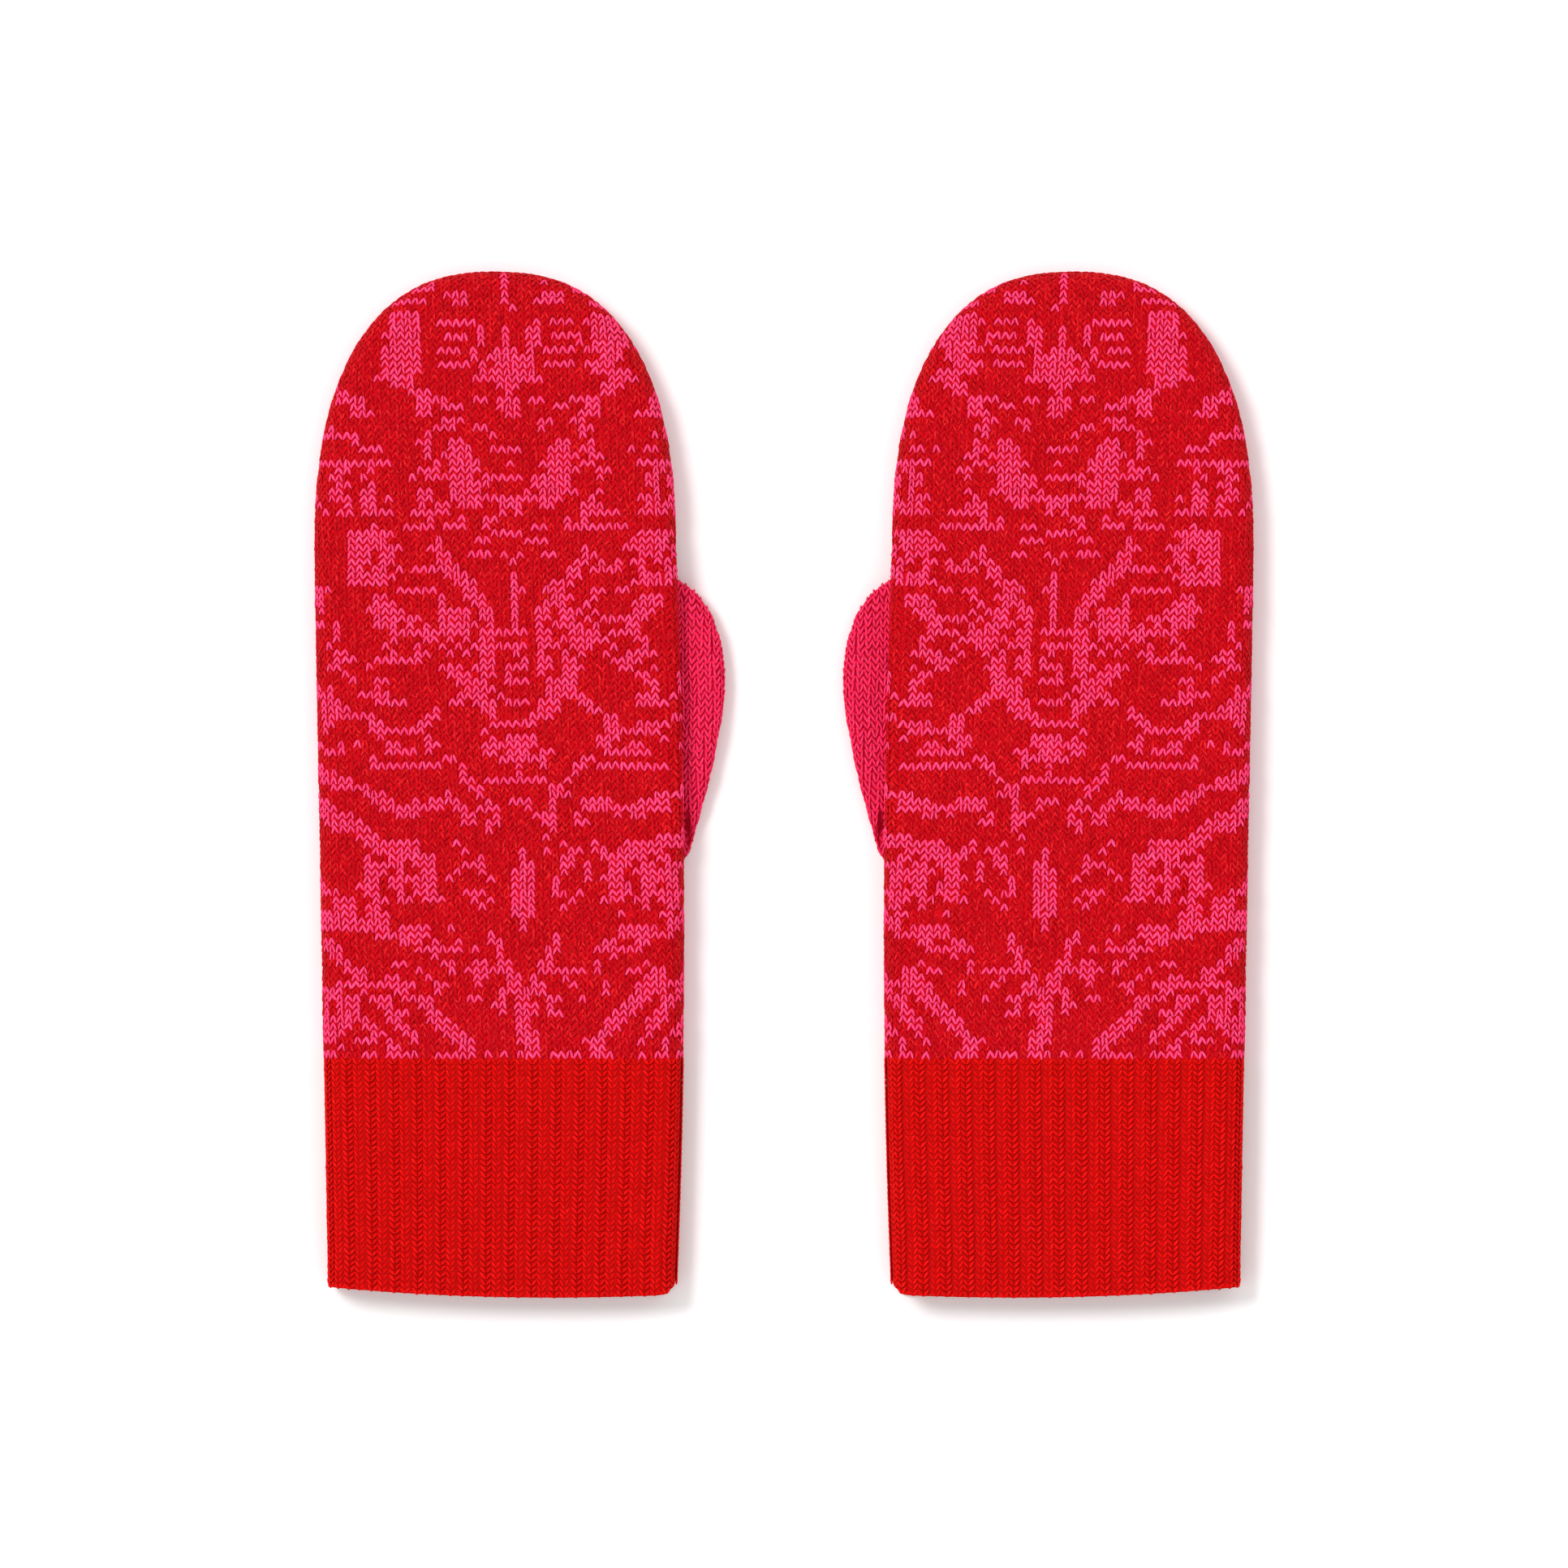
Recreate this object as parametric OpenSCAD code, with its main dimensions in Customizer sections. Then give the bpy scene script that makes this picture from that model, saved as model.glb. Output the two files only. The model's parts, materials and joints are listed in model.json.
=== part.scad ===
// A pair of knitted mittens laid flat, palms down, fingertips towards +Y.
// The origin is on the surface that they lie on, below the middle of the pair.

/* [Pair] */
// Distance between the centre lines of the two mittens
pair_pitch = 157.4; // [150:0.2:260]

/* [Hand] */
// Length of a mitten from the fingertip to the wrist edge
mitten_len = 280; // [260:1:300]
// Width across the knuckles, laid flat
hand_w = 99.2; // [94:0.2:110]
// Length of the rounded fingertip
tip_len = 77; // [65:1:85]
// Squareness of the fingertip, where 2 is an ellipse
tip_power = 2.45; // [2:0.05:3]
// How much narrower the little-finger side is at the wrist edge
outer_taper = 3.7; // [0:0.1:6]
// How far the thumb side bows out below the thumb
thumb_side_bow = 2.2; // [0:0.1:4]

/* [Thumb] */
// Width of the thumb at its widest
thumb_w = 45; // [42:0.5:48]
// Width of the thumb at its root
thumb_root_w = 40; // [37:0.5:41]
// Length of the thumb from its root's centre to its tip
thumb_len = 69; // [60:1:74]
// Angle between the thumb and the hand at rest
thumb_tilt = 9; // [6:1:12]
// Distance of the thumb's root from the hand's centre line
thumb_root_x = 34.7; // [33:0.1:36]
// Distance of the thumb's root from the pair's middle, along the hand
thumb_root_y = -11; // [-16:1:-6]
// Thickness of the thumb laid flat
thumb_t = 9; // [8.5:0.1:9]

/* [Cuff] */
// Length of the ribbed cuff
cuff_len = 64.8; // [55:0.2:72]
// How far the wrist edge curves back at its outer corner
wrist_curve = 3.3; // [1:0.1:5]
// Corner radius of the wrist edge on the thumb side
wrist_corner_r = 5; // [3:0.5:7]

/* [Fabric] */
// Thickness of the mitten laid flat
hand_t = 15; // [15:0.5:18]
// Thickness of the hand and cuff fabric
fabric_t = 2; // [1.8:0.1:2]
// Thickness of the thumb fabric
thumb_fabric_t = 1.8; // [1.5:0.1:1.8]
// Height of a linked seam between two panels
seam_h = 0.8; // [0.5:0.1:0.8]
// Space left between parts that move past each other
play = 0.4; // [0.3:0.1:0.5]

/* [Care label] */
// Width of the folded label
label_w = 22; // [15:1:25]
// Length of the folded label
label_len = 32; // [20:1:36]
// Thickness of the folded label
label_t = 0.8; // [0.5:0.1:0.8]

/* [Hidden] */
red_yarn = [0.78, 0.03, 0.05];
pink_yarn = [0.98, 0.2, 0.42];
cuff_yarn = [0.86, 0.05, 0.03];
label_tape = [0.95, 0.95, 0.93];

wrist_y = -mitten_len / 2;               // lowest point of the wrist edge
join_y = wrist_y + cuff_len;             // where the cuff meets the hand
tip_y = mitten_len / 2 - tip_len;        // where the sides start to round in
seam_z = thumb_t + play + fabric_t;      // underside of the side seams
recess_h = thumb_t + play;               // height of the palm's hollow over the thumb
hem = 1.2;                               // width of the linked row between hand and cuff
socket_r = thumb_root_w / 2 + 2 * play;  // round end of that hollow
thumb_seam_z = (thumb_t - seam_h) / 2;   // underside of the thumb's seam
thumb_tip_len = 36;                      // length of the thumb's rounded tip
thumb_tip_power = 2.1;                   // squareness of that tip
mouth_w = 26;                            // width of the hole that leads into the thumb
mouth_inner = 0.6;                       // share of that width on the hand's side of the thumb's middle
mouth_low = fabric_t + 0.5;              // bottom of that hole, just above the palm's fabric
mouth_high = recess_h - 0.6;             // top of that hole, just below the hollow's roof
wrist_low_x = 15.6;                      // where the wrist edge reaches lowest, from the centre line
label_from_side = 5;                     // distance of the care label from the cuff's thumb side
label_from_join = 10;                    // distance of the care label from the hand
tip_steps = 48;                          // straights round each tip
side_steps = 8;                          // straights along each side
wrist_steps = 16;                        // straights along the wrist edge

// Little-finger side and thumb side of a mitten, across from its centre line
function outer_side(y) = -hand_w / 2 + outer_taper * (tip_y - y) / (tip_y - wrist_y);
function thumb_side(y) = hand_w / 2
    + thumb_side_bow * (1 - pow((2 * y - tip_y - wrist_y) / (tip_y - wrist_y), 2));
function spread(low, high, steps) = [for (i = [0 : steps]) low + (high - low) * i / steps];

// Rounded end of half-width a and length b, from the +X side to the -X side
function round_end(a, b, power) = [for (i = [0 : tip_steps])
    let (t = 180 * i / tip_steps, c = cos(t))
    [sign(c) * a * pow(abs(c), 2 / power), b * pow(sin(t), 2 / power)]];

// Outline of the hand from height low up, drawn in by inset
function hand_outline(inset, low) = concat(
    [for (y = spread(low, tip_y, side_steps)) [thumb_side(y) - inset, y]],
    [for (p = round_end(hand_w / 2 - inset, tip_len - inset, tip_power)) p + [0, tip_y]],
    [for (y = spread(tip_y, low, side_steps)) [outer_side(y) + inset, y]]);

// Outline of the thumb about its root, drawn in by inset
tip_start = thumb_len - thumb_tip_len;
function thumb_half(l) = thumb_w / 2
    - (thumb_w - thumb_root_w) / 2 * pow(1 - l / tip_start, 2);
function thumb_flank(inset) = [for (l = spread(0, tip_start, side_steps)) [thumb_half(l) - inset, l]];
function thumb_cap(inset) = [for (p = round_end(thumb_w / 2 - inset, thumb_tip_len - inset, thumb_tip_power))
    p + [0, tip_start]];
function thumb_root(r) = [for (t = [185 : 5 : 355]) r * [cos(t), sin(t)]];
function thumb_outline(inset) = concat(
    thumb_flank(inset), thumb_cap(inset),
    [for (l = spread(tip_start, 0, side_steps)) [inset - thumb_half(l), l]],
    thumb_root(thumb_root_w / 2 - inset));

// Wrist edge: a shallow curve that ends in a rounded corner on the thumb side
function wrist_edge(x) = wrist_y + wrist_curve * pow((x - wrist_low_x) / (wrist_low_x + hand_w / 2), 2);
corner_x = thumb_side(wrist_y) - wrist_corner_r;

module slab(z, h) { translate([0, 0, z]) linear_extrude(h) children(); }

module between_sides(inset, low, high) {
    polygon(concat(
        [for (y = spread(low, high, side_steps)) [thumb_side(y) - inset, y]],
        [for (y = spread(high, low, side_steps)) [outer_side(y) + inset, y]]));
}

module cuff_shape() {
    wrist_corner_y = wrist_edge(corner_x) + wrist_corner_r;
    polygon(concat(
        [for (y = spread(wrist_corner_y, join_y - play, side_steps)) [thumb_side(y), y]],
        [for (y = spread(join_y - play, wrist_edge(outer_side(wrist_y)), side_steps)) [outer_side(y), y]],
        [for (x = spread(outer_side(wrist_y) + 1, corner_x - 1, wrist_steps)) [x, wrist_edge(x)]],
        [for (t = [270 : 10 : 350])
            [corner_x, wrist_corner_y] + wrist_corner_r * [cos(t), sin(t)]]));
}

module at_thumb() {
    translate([thumb_root_x, thumb_root_y, 0]) rotate(-thumb_tilt) children();
}

// Plan of the space that the thumb lies and swings in, open towards the thumb side
module thumb_space(grow) {
    reach = hand_w;
    at_thumb() polygon(concat(
        [[reach, 0], [reach, thumb_len + play + grow]],
        [for (i = [tip_steps / 2 : tip_steps]) thumb_cap(-play - grow)[i]],
        [for (l = spread(tip_start, 0, side_steps)) [-thumb_half(l) - play - grow, l]],
        thumb_root(socket_r + grow)));
}

// The way from the hand into the thumb, drawn in by inset, and clear of the hand's own side
module thumb_mouth(inset, low, high) {
    at_thumb() translate([inset - mouth_w * mouth_inner, -socket_r - 2 * fabric_t, low])
        cube([mouth_w - 2 * inset, socket_r, high - low]);
}

module hand_back() {
    color(red_yarn) difference() {
        slab(seam_z + seam_h, hand_t - seam_z - seam_h) polygon(hand_outline(0, join_y + hem));
        slab(seam_z, hand_t - fabric_t - seam_z) polygon(hand_outline(fabric_t, join_y));
    }
}

module hand_palm() {
    color(pink_yarn) difference() {
        slab(0, seam_z) polygon(hand_outline(0, join_y + hem));
        slab(fabric_t, seam_z) difference() {
            polygon(hand_outline(fabric_t, join_y));
            thumb_space(fabric_t);
        }
        slab(-1, recess_h + 1) thumb_space(0);
        thumb_mouth(0, mouth_low, mouth_high);
    }
}

module side_seam() {
    color(red_yarn) slab(seam_z, seam_h) difference() {
        polygon(hand_outline(0, join_y + hem));
        polygon(hand_outline(fabric_t, join_y));
    }
}

module thumb_hole_seam() {
    color(pink_yarn) intersection() {
        at_thumb() difference() {
            cylinder(h = recess_h, r = socket_r + fabric_t, $fn = 96);
            translate([0, 0, -1]) cylinder(h = recess_h + 2, r = socket_r, $fn = 96);
        }
        difference() {
            thumb_mouth(0, mouth_low, mouth_high);
            thumb_mouth(1, mouth_low + 1, mouth_high - 1);
        }
    }
}

// One layer of the thumb between two heights, with its hollow between two others
module thumb_layer(low, high, cavity_low, cavity_high) {
    difference() {
        at_thumb() slab(low, high - low) polygon(thumb_outline(0));
        at_thumb() slab(cavity_low, cavity_high - cavity_low) polygon(thumb_outline(thumb_fabric_t));
        thumb_mouth(1, cavity_low, cavity_high);
    }
}

module thumb_front() {
    color(pink_yarn) thumb_layer(0, thumb_seam_z, thumb_fabric_t, thumb_t);
}

module thumb_back() {
    color(pink_yarn) thumb_layer(thumb_seam_z + seam_h, thumb_t, 0, thumb_t - thumb_fabric_t);
}

module thumb_seam() {
    color(pink_yarn) thumb_layer(thumb_seam_z, thumb_seam_z + seam_h, 0, thumb_t);
}

// Row of linked loops that joins the hand to the cuff, round the whole wrist
module cuff_join_seam() {
    color(cuff_yarn) difference() {
        slab(0, hand_t) between_sides(0, join_y, join_y + hem);
        slab(fabric_t, hand_t - 2 * fabric_t) between_sides(fabric_t, join_y - 1, join_y + hem + 1);
    }
}

// One layer of the cuff between two heights, with its hollow between two others
module cuff_layer(low, high, cavity_low, cavity_high) {
    color(cuff_yarn) difference() {
        slab(low, high - low) cuff_shape();
        slab(cavity_low, cavity_high - cavity_low) between_sides(fabric_t, wrist_y - 1, join_y + 1);
    }
}

module cuff_palm() { cuff_layer(0, seam_z, fabric_t, hand_t); }

module cuff_back() { cuff_layer(seam_z + seam_h, hand_t, 0, hand_t - fabric_t); }

module cuff_seam() { cuff_layer(seam_z, seam_z + seam_h, 0, hand_t); }

module care_label() {
    color(label_tape) translate([thumb_side(join_y) - label_from_side - label_w,
        join_y - label_len - label_from_join, fabric_t])
        cube([label_w, label_len, label_t]);
}

module left() { translate([-pair_pitch / 2, 0, 0]) children(); }
module right() { mirror([1, 0, 0]) left() children(); }

left() hand_back();  // left_hand_back
left() hand_palm();  // left_hand_palm
left() side_seam();  // left_side_seam
left() thumb_hole_seam();  // left_thumb_hole_seam
left() cuff_join_seam();  // left_cuff_join_seam
left() thumb_back();  // left_thumb_back
left() thumb_front();  // left_thumb_front
left() thumb_seam();  // left_thumb_seam
left() cuff_back();  // left_cuff_back
left() cuff_palm();  // left_cuff_palm
left() cuff_seam();  // left_cuff_seam
left() care_label();  // left_care_label
right() hand_back();  // right_hand_back
right() hand_palm();  // right_hand_palm
right() side_seam();  // right_side_seam
right() thumb_hole_seam();  // right_thumb_hole_seam
right() cuff_join_seam();  // right_cuff_join_seam
right() thumb_back();  // right_thumb_back
right() thumb_front();  // right_thumb_front
right() thumb_seam();  // right_thumb_seam
right() cuff_back();  // right_cuff_back
right() cuff_palm();  // right_cuff_palm
right() cuff_seam();  // right_cuff_seam
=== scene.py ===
import json
import math
import bpy
import numpy as np
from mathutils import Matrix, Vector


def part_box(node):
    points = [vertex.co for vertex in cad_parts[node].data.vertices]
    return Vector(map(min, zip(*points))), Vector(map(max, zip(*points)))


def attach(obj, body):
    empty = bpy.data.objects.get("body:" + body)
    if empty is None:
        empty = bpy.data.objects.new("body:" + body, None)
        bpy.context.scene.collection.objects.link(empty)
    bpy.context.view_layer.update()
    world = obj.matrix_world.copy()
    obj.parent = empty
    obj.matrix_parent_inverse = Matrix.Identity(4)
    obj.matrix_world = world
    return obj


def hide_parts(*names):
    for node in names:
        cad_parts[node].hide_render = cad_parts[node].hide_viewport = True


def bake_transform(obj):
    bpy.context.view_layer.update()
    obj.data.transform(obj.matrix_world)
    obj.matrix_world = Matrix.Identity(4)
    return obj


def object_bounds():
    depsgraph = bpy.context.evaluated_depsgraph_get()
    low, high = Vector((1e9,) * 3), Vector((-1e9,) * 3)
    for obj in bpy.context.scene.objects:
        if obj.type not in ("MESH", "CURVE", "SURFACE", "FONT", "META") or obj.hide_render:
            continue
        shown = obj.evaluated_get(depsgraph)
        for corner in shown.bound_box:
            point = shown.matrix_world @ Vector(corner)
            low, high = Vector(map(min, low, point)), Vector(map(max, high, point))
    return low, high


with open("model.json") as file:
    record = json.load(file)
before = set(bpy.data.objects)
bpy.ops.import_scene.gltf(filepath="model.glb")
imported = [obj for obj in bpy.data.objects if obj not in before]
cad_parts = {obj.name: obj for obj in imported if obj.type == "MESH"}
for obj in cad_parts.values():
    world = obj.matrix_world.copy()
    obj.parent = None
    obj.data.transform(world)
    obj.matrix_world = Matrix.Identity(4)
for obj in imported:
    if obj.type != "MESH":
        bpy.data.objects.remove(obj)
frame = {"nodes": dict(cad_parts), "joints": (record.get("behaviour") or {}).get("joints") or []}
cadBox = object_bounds()
mm = 0.001

# All shapes are worked out on the left mitten, in millimetres, and the right one is turned over from it.


# Studio

studio = {
    "lengthInView": 0.6553,  # share of the picture's height that the mittens fill
    "cameraHeight": 1.2,
    "floorSize": 4.0,
    "floorBelow": 0.0002,    # keeps the lowest stitches out of the floor
    "floorColour": (0.92, 0.92, 0.92, 1),
    "sunStrength": 1.5,
    "sunSpread": 18,         # degrees, which sets how soft the shadow is
    "sunHeight": 58,         # degrees above the floor
    "sunFrom": 146,          # degrees round from +X, so it comes over the left mitten's fingertips
    "skyStrength": 0.98,
}


def makeStudio():
    scene = bpy.context.scene
    scene.view_settings.view_transform = "Standard"
    low, high = cadBox
    middle = (low + high) / 2
    bpy.ops.object.camera_add(location=(middle.x, middle.y, studio["cameraHeight"]), rotation=(0, 0, 0))
    camera = bpy.context.object
    camera.data.type = "ORTHO"
    camera.data.ortho_scale = (high.y - low.y) / studio["lengthInView"]
    scene.camera = camera

    bpy.ops.mesh.primitive_plane_add(size=studio["floorSize"], location=(0, 0, low.z - studio["floorBelow"]))
    floor = bpy.context.object
    floor.name = "floor"
    paint = bpy.data.materials.new("floorPaper")
    paint.use_nodes = True
    shader = paint.node_tree.nodes["Principled BSDF"]
    shader.inputs["Base Color"].default_value = studio["floorColour"]
    shader.inputs["Roughness"].default_value = 0.9
    shader.inputs["Specular IOR Level"].default_value = 0.1
    floor.data.materials.append(paint)

    bpy.ops.object.light_add(type="SUN", location=(0, 0, 1), rotation=(
        0, math.radians(90 - studio["sunHeight"]), math.radians(studio["sunFrom"])))
    sun = bpy.context.object
    sun.data.energy = studio["sunStrength"]
    sun.data.angle = math.radians(studio["sunSpread"])

    sky = bpy.data.worlds.new("sky")
    sky.use_nodes = True
    sky.node_tree.nodes["Background"].inputs["Color"].default_value = (1, 1, 1, 1)
    sky.node_tree.nodes["Background"].inputs["Strength"].default_value = studio["skyStrength"]
    scene.world = sky
    print("studio ready")


# Outlines, read off the frame

def planOutline(node, top):
    corners = np.array([v.co[:] for v in frame["nodes"][node].data.vertices]) / mm
    level = corners[:, 2].max() if top else corners[:, 2].min()
    rim = corners[np.abs(corners[:, 2] - level) < 0.01][:, :2]
    rim = np.unique(np.round(rim, 3), axis=0)
    away = rim - (rim.min(0) + rim.max(0)) / 2
    return rim[np.argsort(np.arctan2(away[:, 1], away[:, 0]))]


def withoutEnds(outline, low, high):
    # Carries the sides on far past the ends, so that only the sides and a round tip count as edges
    far, openEnd = 400, 60
    line = outline[(outline[:, 1] > low) & (outline[:, 1] < high)]
    corners = []
    for before, here, after, later in zip(*[np.roll(line, shift, axis=0) for shift in (1, 0, -1, -2)]):
        corners.append(here)
        if abs(after[0] - here[0]) > openEnd:
            for end, run in ((here, here - before), (after, after - later)):
                corners.append(end + run / np.linalg.norm(run) * far)
    return np.array(corners)


def edgeDistance(points, outline):
    # How far inside the outline each point is, and the way out from there
    start = outline
    run = np.roll(outline, -1, axis=0) - start
    runSquared = (run ** 2).sum(1)
    inside = np.empty(len(points))
    outward = np.empty((len(points), 2))
    chunk = 20000  # keeps the arrays small
    for first in range(0, len(points), chunk):
        part = points[first:first + chunk]
        fromStart = part[:, None] - start[None]
        along = np.clip((fromStart * run).sum(2) / runSquared, 0, 1)
        gap = fromStart - along[..., None] * run
        nearest = (gap ** 2).sum(2).argmin(1)
        rows = np.arange(len(part))
        gap = gap[rows, nearest]
        edge = run[nearest]
        toStart = fromStart[rows, nearest]
        within = edge[:, 0] * toStart[:, 1] - edge[:, 1] * toStart[:, 0] > 0
        far = np.linalg.norm(gap, axis=1)
        facing = np.stack([edge[:, 1], -edge[:, 0]], 1) / np.linalg.norm(edge, axis=1)[:, None]
        away = np.where(far[:, None] > 0.01, gap / np.maximum(far, 1e-9)[:, None], facing)
        outward[first:first + chunk] = np.where((within & (far > 0.01))[:, None], -away, away)
        inside[first:first + chunk] = np.where(within, far, -far)
    return inside, outward


def smooth(t):
    t = np.clip(t, 0, 1)
    return t * t * (3 - 2 * t)


# The mitten's surfaces

handOutline = planOutline("left_hand_back", True)
cuffOutline = planOutline("left_cuff_back", True)
thumbOutline = planOutline("left_thumb_front", False)
handLow, handHigh = [np.array(corner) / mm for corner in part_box("left_hand_back")]
cuffLow, cuffHigh = [np.array(corner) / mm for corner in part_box("left_cuff_back")]
joinY = (handLow[1] + cuffHigh[1]) / 2
thumbJoint = next(joint for joint in frame["joints"] if joint["name"] == "left_thumb_swing")
thumbRoot = np.array(thumbJoint["pos_m"][:2]) / mm
thumbTip = thumbOutline[np.linalg.norm(thumbOutline - thumbRoot, axis=1).argmax()]
thumbAxis = (thumbTip - thumbRoot) / np.linalg.norm(thumbTip - thumbRoot)

shape = {
    "backHeight": 13.95,     # fabric surface of the back, under the stitches' crowns
    "floorGap": 0.95,        # fabric surface of the palm above the floor
    "overThumb": 7.6,        # how far the palm rises over the thumb
    "archReach": 15,         # how far beyond the thumb it is still at its highest
    "archSlope": 18,         # width of the slope down from there, at the thumb's root
    "archSteepens": 3,       # how much narrower the slope is further up
    "archFrom": -12,         # where the arch starts to widen, along the thumb from its root
    "archGrowth": 22,        # and the length over which it does
    "thumbUnderPalm": 1.1,
    "thumbTop": 8.2,
    "thumbDip": 2.4,         # how far the thumb's top sinks where it goes in under the hand
    "dipWidth": 9,
    "thumbThinnest": 0.9,
    "handBend": 4.6,         # how far in from the edge the fabric starts to turn over
    "thumbBend": 3.4,
    "cuffSidesFrom": 8,      # above the rounded corners of the cuff's mouth
    "ripple": 0.2,
    "stitchesStandOut": 0.6,
    "flattenAtEdge": 0.5,    # how much flatter the stitches are where the fabric turns over
}


def panelDistance(sheet, points):
    # The fabric lies a little inside the panel's outline, since the stitches stand out from it
    inside, outward = edgeDistance(points, sheet["outline"])
    return inside - shape["stitchesStandOut"], outward


def ripple(plan, shift):
    x, y = plan[:, 0] + shift, plan[:, 1] - shift
    waves = np.sin(x / 13 + 1.3 * np.sin(y / 31)) * np.sin(y / 19 + 0.8) + 0.6 * np.sin((x + y) / 9 + 2)
    return shape["ripple"] * waves


def swungOut(plan, share):
    # Where points of the thumb go when it swings out by a share of its range
    angle = -math.radians(thumbJoint["range_deg"][1]) * share
    x, y = (plan - thumbRoot).T
    return thumbRoot + np.column_stack([x * math.cos(angle) - y * math.sin(angle),
                                        x * math.sin(angle) + y * math.cos(angle)])


def thumbRise(plan):
    # The palm arches over all that the thumb sweeps
    outside = np.min([-edgeDistance(plan, swungOut(thumbOutline, share))[0] for share in (0, 0.5, 1)], axis=0)
    along = (plan - thumbRoot) @ thumbAxis
    upThumb = smooth((along - shape["archFrom"]) / shape["archGrowth"])
    reach = shape["archReach"] * upThumb
    slope = shape["archSlope"] - shape["archSteepens"] * upThumb
    return shape["overThumb"] * smooth((reach - outside) / slope)


def backLevel(plan):
    return shape["backHeight"] + ripple(plan, 0)


def palmLevel(plan):
    return shape["floorGap"] + thumbRise(plan)


def thumbTopLevel(plan):
    lowestPalm = np.minimum(palmLevel(plan), palmLevel(swungOut(plan, 1)))
    under = lowestPalm - shape["thumbUnderPalm"]
    beyondHand = -edgeDistance(plan, handEdges)[0]
    dip = shape["thumbDip"] * (1 - smooth(beyondHand / shape["dipWidth"]))
    highest = shape["thumbTop"] - dip + 0.5 * ripple(plan, 40)
    free = smooth(beyondHand / 4) * 9
    return np.clip(under + free, shape["floorGap"] + shape["thumbThinnest"], highest)


def thumbFrontLevel(plan):
    return np.full(len(plan), shape["floorGap"])


noLimit = 900  # further than any outline reaches
handEdges = withoutEnds(handOutline, handLow[1] - 1, noLimit)
cuffEdges = withoutEnds(cuffOutline, cuffLow[1] + shape["cuffSidesFrom"], noLimit)


def panel(outline, side, top, bottom, bend):
    # side is 1 for an upper layer and -1 for a lower one
    return {"outline": outline, "side": side, "top": top, "bottom": bottom, "bend": bend}


sheets = {
    "back": panel(handEdges, 1, backLevel, palmLevel, shape["handBend"]),
    "palm": panel(handEdges, -1, backLevel, palmLevel, shape["handBend"]),
    "cuffBack": panel(cuffEdges, 1, backLevel, palmLevel, shape["handBend"]),
    "cuffPalm": panel(cuffEdges, -1, backLevel, palmLevel, shape["handBend"]),
    "thumbBack": panel(thumbOutline, 1, thumbTopLevel, thumbFrontLevel, shape["thumbBend"]),
    "thumbFront": panel(thumbOutline, -1, thumbTopLevel, thumbFrontLevel, shape["thumbBend"]),
}


def quarterLength(bend, half):
    # Length of a quarter of an ellipse
    h = ((bend - half) / (bend + half)) ** 2
    return math.pi / 4 * (bend + half) * (1 + 3 * h / (10 + np.sqrt(4 - 3 * h)))


def foldOver(sheet, flat):
    # Lays points of the flat fabric on the mitten, turned over at its edges.
    # The second value is 1 at the edge where the two panels meet.
    inside, outward = panelDistance(sheet, flat)
    bend = sheet["bend"]
    past = np.clip(bend - inside, 0, None)
    nearPlan = flat - outward * np.clip(past - bend, 0, None)[:, None]
    half = (sheet["top"](nearPlan) - sheet["bottom"](nearPlan)) / 2
    share = past / quarterLength(bend, half)
    furthest = 1.3
    turn = np.minimum(share, furthest) * math.pi / 2
    plan = flat + outward * (bend * np.sin(turn) - past)[:, None]
    top, bottom = sheet["top"](plan), sheet["bottom"](plan)
    drop = (top - bottom) / 2 * (1 - np.cos(turn))
    height = top - drop if sheet["side"] > 0 else bottom + drop
    return np.column_stack([plan, height]), share


def unit(vectors):
    return vectors / np.maximum(np.linalg.norm(vectors, axis=1), 1e-9)[:, None]


def places(sheet, flat, waleLean=0.0):
    # Where each stitch goes: its middle and the three ways across, along and out of the fabric.
    # Stitches are pressed flatter where the fabric turns over.
    step = 0.25
    at, share = foldOver(sheet, flat)
    across = (foldOver(sheet, flat + [step, 0])[0] - foldOver(sheet, flat - [step, 0])[0]) / (2 * step)
    lean = np.array([-waleLean, 1]) * step
    along = (foldOver(sheet, flat + lean)[0] - foldOver(sheet, flat - lean)[0]) / (2 * step)
    out = np.cross(across, along) * sheet["side"]
    out[out[:, 2] * sheet["side"] < 0] *= -1
    out = unit(out)
    # Squares the ways up and limits their stretch, where the fabric folds too sharply for them
    leastStretch, mostStretch = 0.75, 1.2
    stretchAlong = np.clip(np.linalg.norm(along, axis=1), leastStretch, mostStretch)
    stretchAcross = np.clip(np.linalg.norm(across, axis=1), leastStretch, mostStretch)
    along = unit(along - (along * out).sum(1)[:, None] * out)
    across = np.cross(along, out) * stretchAcross[:, None] * sheet["side"]
    along = along * stretchAlong[:, None]
    press = 1 - shape["flattenAtEdge"] * smooth((share - 0.35) / 0.55)
    return {"at": at, "across": across, "along": along, "out": out, "share": share, "press": press}


def keep(spots, chosen):
    return {name: values[chosen] for name, values in spots.items()}


# Stitches

def makeStitch(name, legs, segments, rings):
    # Each leg is a slim bead of yarn, leaning over to its side. They are joined in order,
    # so that every leg's points stay together.
    beads = []
    for leg in legs:
        bpy.ops.mesh.primitive_uv_sphere_add(
            segments=segments, ring_count=rings, radius=0.5, location=leg["middle"],
            rotation=(math.pi / 2, 0, math.radians(leg["slant"])),
            scale=(leg["width"], leg["height"], leg["length"]))
        beads.append(bpy.context.object)
    for bead in beads:
        bead.select_set(True)
    stitch = beads[0]
    bpy.context.view_layer.objects.active = stitch
    bpy.ops.object.transform_apply(location=True, rotation=True, scale=True)
    if len(beads) > 1:
        bpy.ops.object.join()
    stitch.name = name
    bpy.ops.object.shade_smooth()
    return stitch


def pair(slant, apart, width, height, length, lift=0.0):
    # The two legs of a stitch, which meet at its top
    return [{"middle": (side * apart, 0, lift), "slant": side * slant, "width": width, "height": height,
             "length": length} for side in (-1, 1)]


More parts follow.
